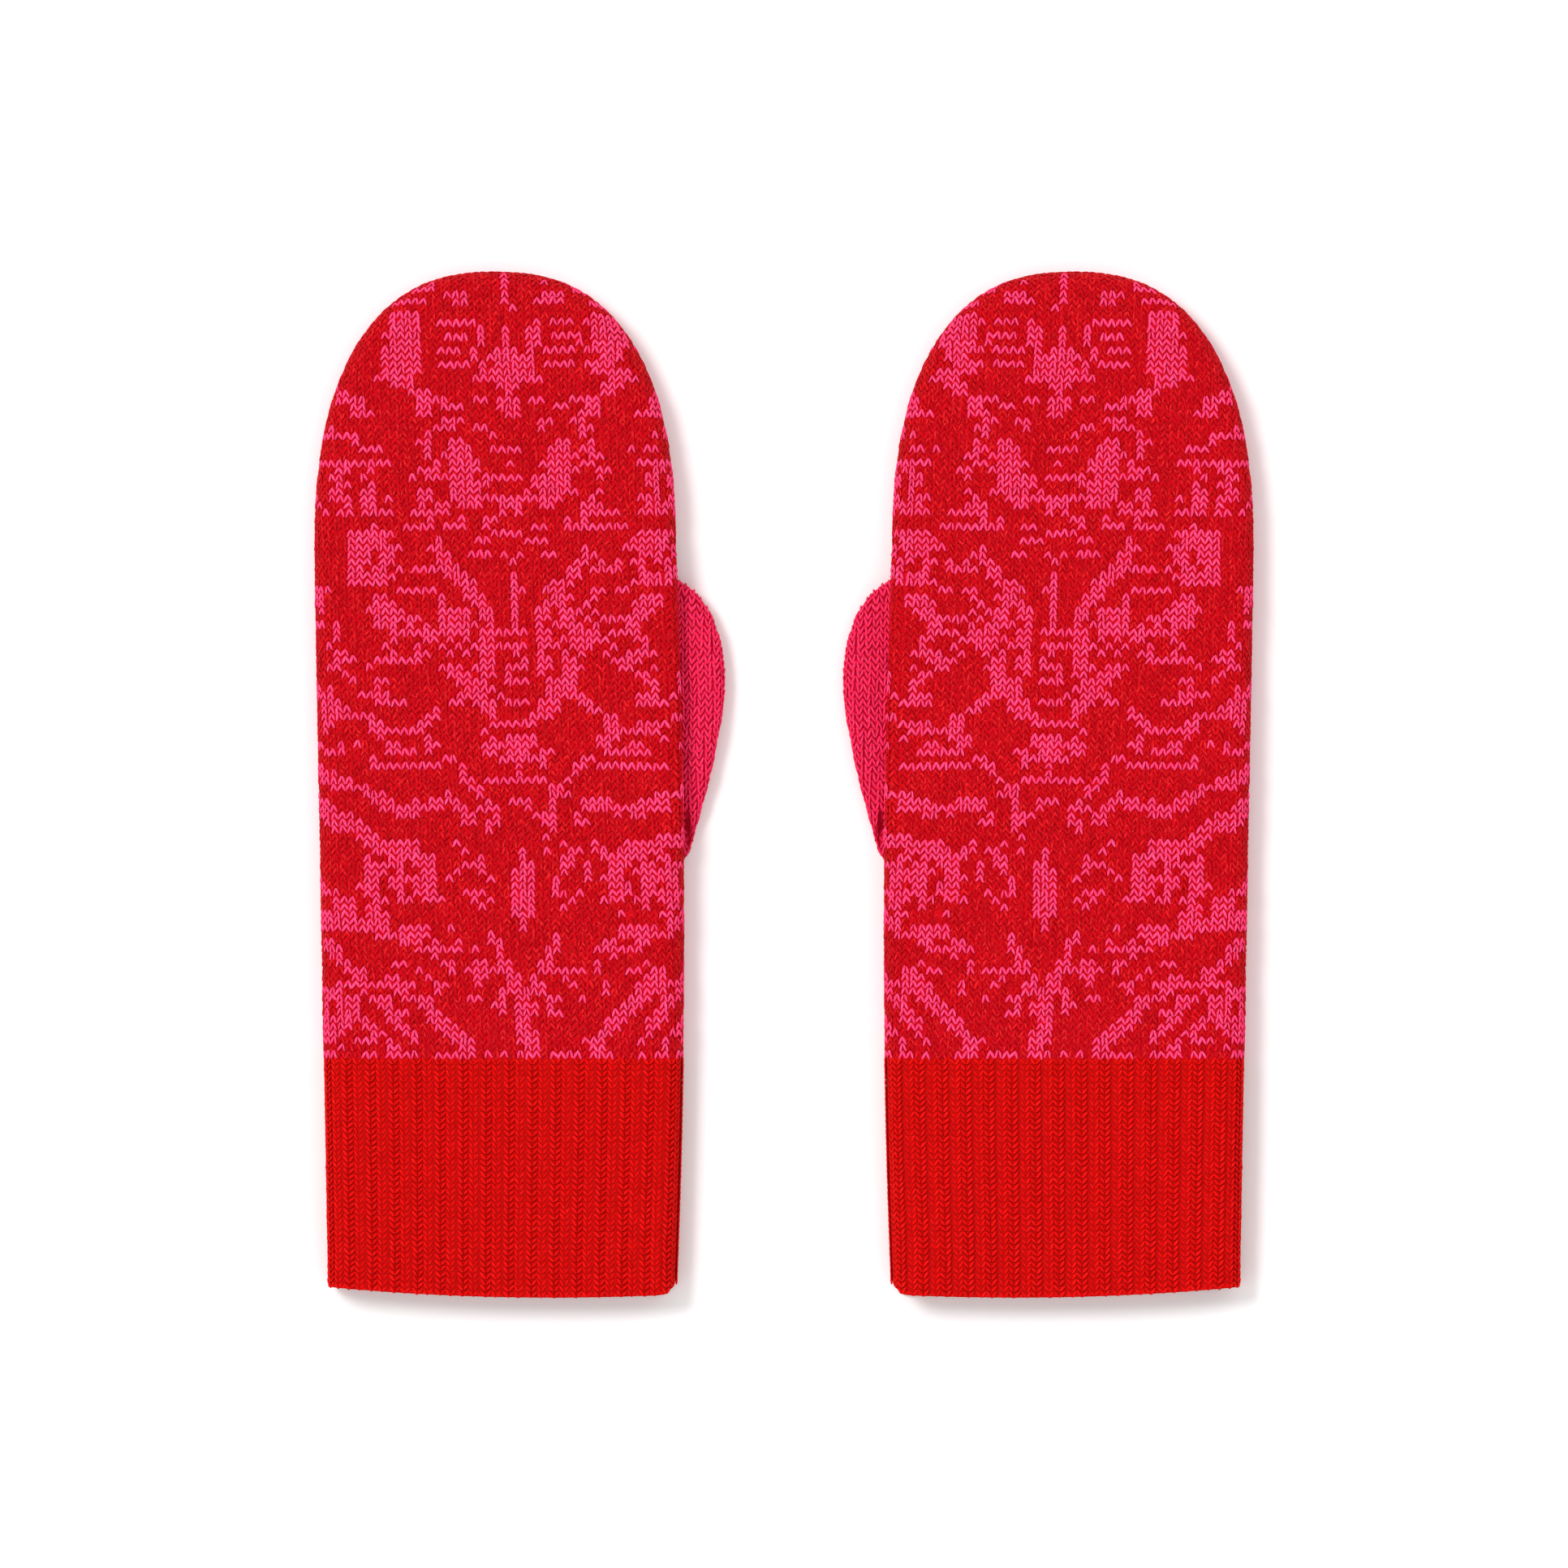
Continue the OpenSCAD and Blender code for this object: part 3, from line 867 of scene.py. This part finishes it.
_, courses, flat = gridOver(handBox, chart["wale"], chart["course"], joinY, handMiddle)
spots = places(sheets["palm"], flat)
inPanel = spots["share"] < handKnit["edge"]
spots = keep(spots, inPanel)
heel = courses[inPanel] < handKnit["fingersFrom"]
piecePlan(wear(knit("left_palm_heel", palmStitch, keep(spots, heel), 3), yarns["palm"]),
          "hand", ["hand_palm"], "pink_yarn")
piecePlan(wear(knit("left_palm_fingers", palmStitch, keep(spots, ~heel), 4), yarns["palm"]),
          "hand", ["hand_palm"], "pink_yarn")
print("palm knitted")

for place, seed in (("thumbBack", 5), ("thumbFront", 6)):
    _, _, flat = gridOver(thumbOutline, thumbKnit["wale"], thumbKnit["course"], thumbRoot[1], thumbRoot[0],
                          rowsBelow=True)
    spots = places(sheets[place], flat)
    spots = keep(spots, spots["share"] < thumbKnit["edge"])
    side = "back" if place == "thumbBack" else "front"
    piece = knit("left_thumb_%s_knit" % side, thumbStitch, spots, seed, uneven=thumbKnit["uneven"])
    piecePlan(wear(piece, yarns["palm"]), "thumb", ["thumb_" + side], "pink_yarn")
print("thumb knitted")


# Ribbed cuff

rib = {
    "repeat": 6.335,                     # from one raised rib to the next
    "repeats": 10,                       # either side of the middle
    "raisedAt": -1.5, "raise": 0.24,
    "recessedAt": 1.35, "sink": -0.04,
    "recessedSize": (0.94, 1.0, 0.85),
    "stroke": 1.617,                     # height of a stitch
    "edge": 0.98,
    "mouthTop": 5.5,                     # the outline below this is the mouth
}
sides = cuffOutline[cuffOutline[:, 1] > cuffLow[1] + shape["cuffSidesFrom"]]
leftSide = sides[sides[:, 0] < sides[:, 0].mean()]
rightSide = sides[sides[:, 0] > sides[:, 0].mean()]
leftSide = leftSide[leftSide[:, 1].argsort()]
rightSide = rightSide[rightSide[:, 1].argsort()]
mouthLine = cuffOutline[cuffOutline[:, 1] < cuffLow[1] + rib["mouthTop"]]
mouthLine = mouthLine[mouthLine[:, 0].argsort()]
cuffHalfWidth = (cuffHigh[0] - cuffLow[0]) / 2
sideBend = shape["handBend"]
sideTurn = quarterLength(sideBend, (shape["backHeight"] - shape["floorGap"]) / 2)


def cuffFlat(across, down):
    # Flat place for a distance across from the middle and a share of the way down the cuff
    y = joinY - down * (joinY - cuffLow[1])
    left = np.interp(y, leftSide[:, 1], leftSide[:, 0])
    right = np.interp(y, rightSide[:, 1], rightSide[:, 0])
    halfWidth = (right - left) / 2
    off = across * halfWidth / cuffHalfWidth
    x = (left + right) / 2 + off
    past = np.clip(np.abs(off) + sideBend - halfWidth, 0, None)
    planOff = halfWidth - sideBend * (1 - np.sin(np.minimum(past / sideTurn, 1) * math.pi / 2))
    planX = np.where(past > 0, (left + right) / 2 + np.sign(off) * planOff, x)
    mouth = np.interp(planX, mouthLine[:, 0], mouthLine[:, 1])
    return np.column_stack([x, joinY - down * (joinY - mouth)])


def together(parts):
    # Several lots of spots as one
    return {key: np.concatenate([part[key] for part in parts]) for key in parts[0]}


for place, seed in (("cuffBack", 7), ("cuffPalm", 8)):
    rows = math.floor((joinY - cuffLow[1]) / rib["stroke"])
    repeats = np.arange(-rib["repeats"], rib["repeats"])
    parts = []
    for offset, lift, size in ((rib["raisedAt"], rib["raise"], (1.0, 1.0, 1.0)),
                               (rib["recessedAt"], rib["sink"], rib["recessedSize"])):
        across, row = np.meshgrid((repeats + 0.5) * rib["repeat"] + offset, np.arange(rows))
        spots = places(sheets[place], cuffFlat(across.ravel(), (row.ravel() + 0.5) / rows))
        spots["at"] += spots["out"] * lift
        spots["size"] = np.tile(size, (len(spots["at"]), 1))
        parts.append(keep(spots, spots["share"] < rib["edge"]))
    side = "back" if place == "cuffBack" else "palm"
    piece = knit("left_cuff_%s_rib" % side, ribStitch, together(parts), seed, loose=0.035, uneven=0.06)
    piecePlan(wear(piece, yarns["cuff"]), "cuff", ["cuff_" + side], "cuff_yarn", crossesWrist=True)
print("cuff knitted")


# Fabric panels

# "flat" is the size that each panel is cut to, in metres
fabrics = {
    "hand": {"flat": (0.110, 0.222), "margin": 8, "cells": (52, 100), "depth": 0.9},
    "thumb": {"flat": (0.054, 0.094), "margin": 6, "cells": (38, 62), "depth": 0.6},
    "cuff": {"flat": (0.108, 0.067), "halfWidth": 58, "cells": (72, 40), "depth": 0.9},
}


def span(outline, margin):
    return outline.min(0) - margin, outline.max(0) + margin


cut = fabrics["hand"]
handFrom, handTo = span(handOutline, cut["margin"])
handFrom[1] = joinY
for place, colour in (("back", "red"), ("palm", "pink")):
    piece = fabric("left_hand_%s_fabric" % place, sheets[place], handFrom, handTo, cut["cells"], cut["depth"],
                   linings[colour])
    piecePlan(piece, "hand", ["hand_" + place], colour + "_yarn", flat=cut["flat"])

cut = fabrics["thumb"]
thumbFrom, thumbTo = span(thumbOutline, cut["margin"])
for place, side in (("thumbBack", "back"), ("thumbFront", "front")):
    piece = fabric("left_thumb_%s_fabric" % side, sheets[place], thumbFrom, thumbTo, cut["cells"],
                   cut["depth"], linings["pink"])
    piecePlan(piece, "thumb", ["thumb_" + side], "pink_yarn", flat=cut["flat"])

cut = fabrics["cuff"]
for place, side in (("cuffBack", "back"), ("cuffPalm", "palm")):
    piece = fabric("left_cuff_%s_fabric" % side, sheets[place], (-cut["halfWidth"], 0), (cut["halfWidth"], 1),
                   cut["cells"], cut["depth"], linings["cuff"],
                   layOut=lambda grid: cuffFlat(grid[:, 0], 1 - grid[:, 1]))
    piecePlan(piece, "cuff", ["cuff_" + side], "cuff_yarn", crossesWrist=True, flat=cut["flat"])
print("fabric ready")


# Seams and edges

def openLine(outline):
    # Starts the outline after its longest straight, so that it ends there too
    longest = np.linalg.norm(np.roll(outline, -1, axis=0) - outline, axis=1).argmax()
    return np.roll(outline, -longest - 1, axis=0)


def aboutFace(spots):
    # Turns stitches to lie across the wales
    return {**spots, "across": -spots["along"], "along": spots["across"]}


seams = {
    "pitch": 2.0, "cuffPitch": 1.9,      # length of a chain stitch
    "thumbFrom": -4,                     # where along the thumb its own seam starts
    "rootRadius": 21.2,                  # the arc where the thumb meets the palm
    "rootTurns": (88, 272),              # degrees round from the thumb's axis
    "rootSteps": 36,
    "rootSink": 0.1,
    "rootInside": 3,                     # the arc stops that far inside the hand's edge
    "cuffReach": 54,                     # half the length of the chains round the cuff
    "join": {"down": 0.0, "sink": -0.25},
    "rim": {"down": 0.992, "sink": -0.4},
    "cuffCorner": 49,                    # where the side seams of the cuff end at its mouth
}

spots = edgeSpots(back, openLine(handOutline), seams["pitch"])
chain = knit("left_hand_side_seam", chainStitch, spots, 21, loose=0.03, uneven=0.05)
piecePlan(wear(chain, yarns["red"]), "hand", ["side_seam"], "red_yarn")

thumbEdge = evenly(thumbOutline, 1.0, closed=True)
outer = thumbEdge[(thumbEdge - thumbRoot) @ thumbAxis > seams["thumbFrom"]]
spots = edgeSpots(sheets["thumbBack"], openLine(outer), seams["pitch"])
chain = knit("left_thumb_seam_chain", chainStitch, spots, 22, loose=0.03, uneven=0.05)
piecePlan(wear(chain, yarns["palm"]), "thumb", ["thumb_seam"], "pink_yarn")

rootAngle = math.atan2(thumbAxis[1], thumbAxis[0])
turns = rootAngle + np.radians(np.linspace(*seams["rootTurns"], seams["rootSteps"]))
rootArc = thumbRoot + seams["rootRadius"] * np.column_stack([np.cos(turns), np.sin(turns)])
rootArc = np.column_stack([rootArc, palmLevel(rootArc) - seams["rootSink"]])
rootArc = rootArc[edgeDistance(rootArc[:, :2], handEdges)[0] > seams["rootInside"]]
down = np.tile([0.0, 0.0, -1.0], (len(rootArc), 1))
chain = knit("left_thumb_root_chain", chainStitch, lineSpots(rootArc, down), 23)
piecePlan(wear(chain, yarns["palm"]), "hand", ["thumb_hole_seam"], "pink_yarn")


def cuffLoop(down, sink):
    # Stitches right round the cuff, a share of the way down it
    across = np.arange(-seams["cuffReach"], seams["cuffReach"] + 0.1, seams["cuffPitch"])
    parts = []
    for place in ("cuffBack", "cuffPalm"):
        spots = aboutFace(places(sheets[place], cuffFlat(across, np.full(len(across), down))))
        spots["at"] = spots["at"] + spots["out"] * sink
        parts.append(keep(spots, spots["share"] < 1.0))
    return together(parts)


chain = knit("left_join_chain", chainStitch, cuffLoop(**seams["join"]), 24)
piecePlan(wear(chain, yarns["cuff"]), "hand", ["cuff_join_seam"], "cuff_yarn")
beads = knit("left_cuff_rim", beadStitch, cuffLoop(**seams["rim"]), 25, loose=0.03, legs=1)
piecePlan(wear(beads, yarns["cuff"]), "cuff", ["cuff_back", "cuff_palm"], "cuff_yarn", crossesWrist=True)

seamParts = []
for line, corner in ((leftSide, -seams["cuffCorner"]), (rightSide, seams["cuffCorner"])):
    reach = np.vstack([line, [line[-1, 0], joinY]])
    reach[0, 1] = cuffFlat(np.array([corner]), np.array([1.0]))[0, 1] + 1
    seamParts.append(edgeSpots(sheets["cuffBack"], reach, seams["cuffPitch"]))
chain = knit("left_cuff_side_seams", chainStitch, together(seamParts), 26)
piecePlan(wear(chain, yarns["cuff"]), "cuff", ["cuff_seam"], "cuff_yarn", crossesWrist=True)
print("seams sewn")


# Blank care label, inside the left cuff

careLabel = {
    "flat": (0.022, 0.032),
    "cells": (22, 32),
    "lift": 0.0001,
    "curl": 0.0004,        # how much its two sides lift
    "thickness": 0.0003,
    "threads": 420,
}
labelLow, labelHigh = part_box("left_care_label")
bpy.ops.object.select_all(action="DESELECT")
cellsAcross, cellsDown = careLabel["cells"]
bpy.ops.mesh.primitive_grid_add(x_subdivisions=cellsAcross, y_subdivisions=cellsDown, size=1)
label = bpy.context.object
label.name = "left_label"
corners = meshPoints(label) * (*(labelHigh - labelLow).xy, 1) + (*((labelHigh + labelLow) / 2).xy, 0)
acrossLabel = (corners[:, 0] - labelLow.x) / (labelHigh.x - labelLow.x)
curl = careLabel["curl"] * (1 - np.sin(math.pi * acrossLabel))
corners[:, 2] = labelLow.z + careLabel["lift"] + curl
setPoints(label, corners)
bpy.ops.object.modifier_add(type="SOLIDIFY")
label.modifiers[-1].thickness = careLabel["thickness"]
label.modifiers[-1].offset = 1
bpy.ops.object.modifier_apply(modifier=label.modifiers[-1].name)
bpy.ops.object.shade_smooth_by_angle(angle=math.radians(40))


def tape():
    # Threads that cross
    paint, tree, shader = newPaint("labelTape", roughness=0.6, gloss=0.5)
    place = addNode(tree, "TexCoord")
    threads = []
    for turn in (0, 90):
        spun = addNode(tree, "Mapping", {"Vector": (place, "Object")}, Rotation=(0, 0, math.radians(turn)))
        threads.append(addNode(tree, "TexWave", {"Vector": (spun, "Vector")}, Scale=careLabel["threads"]))
    weave = addNode(tree, "Math")
    weave.operation = "MULTIPLY"
    for socket, wave in enumerate(threads):
        tree.links.new(wave.outputs["Fac"], weave.inputs[socket])
    colour = mixColours(tree, (0.62, 0.60, 0.57), (0.84, 0.83, 0.80), (weave, "Value"))
    tree.links.new(colour.outputs["Result"], shader.inputs["Base Color"])
    bump = addBump(tree, (weave, "Value"), strength=0.5, distance=0.0001)
    tree.links.new(bump.outputs["Normal"], shader.inputs["Normal"])
    return paint


piecePlan(wear(label, tape()), "cuff", ["care_label"], "label_tape", flat=careLabel["flat"])
print("label ready")

for prototype in (groundStitch, figureStitch, palmStitch, thumbStitch, ribStitch, chainStitch, beadStitch):
    bpy.data.objects.remove(prototype)


# The right mitten, and what each piece moves with

def turnOver(piece):
    pickOnly(piece)
    bpy.ops.object.duplicate()
    copy = bpy.context.object
    copy.name = copy.data.name = piece.name.replace("left_", "right_")
    setPoints(copy, meshPoints(copy) * (-1, 1, 1))
    faceOut(copy)
    return copy


for entry in list(pieces):
    sides = [("left", entry["piece"])]
    if entry["slot"] != "label_tape":
        sides.append(("right", turnOver(entry["piece"])))
    for side, piece in sides:
        if entry["crossesWrist"]:
            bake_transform(piece)
        else:
            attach(piece, side + "_" + entry["body"])
        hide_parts(*[side + "_" + node for node in entry["nodes"]])
print("both mittens ready")

makeStudio()
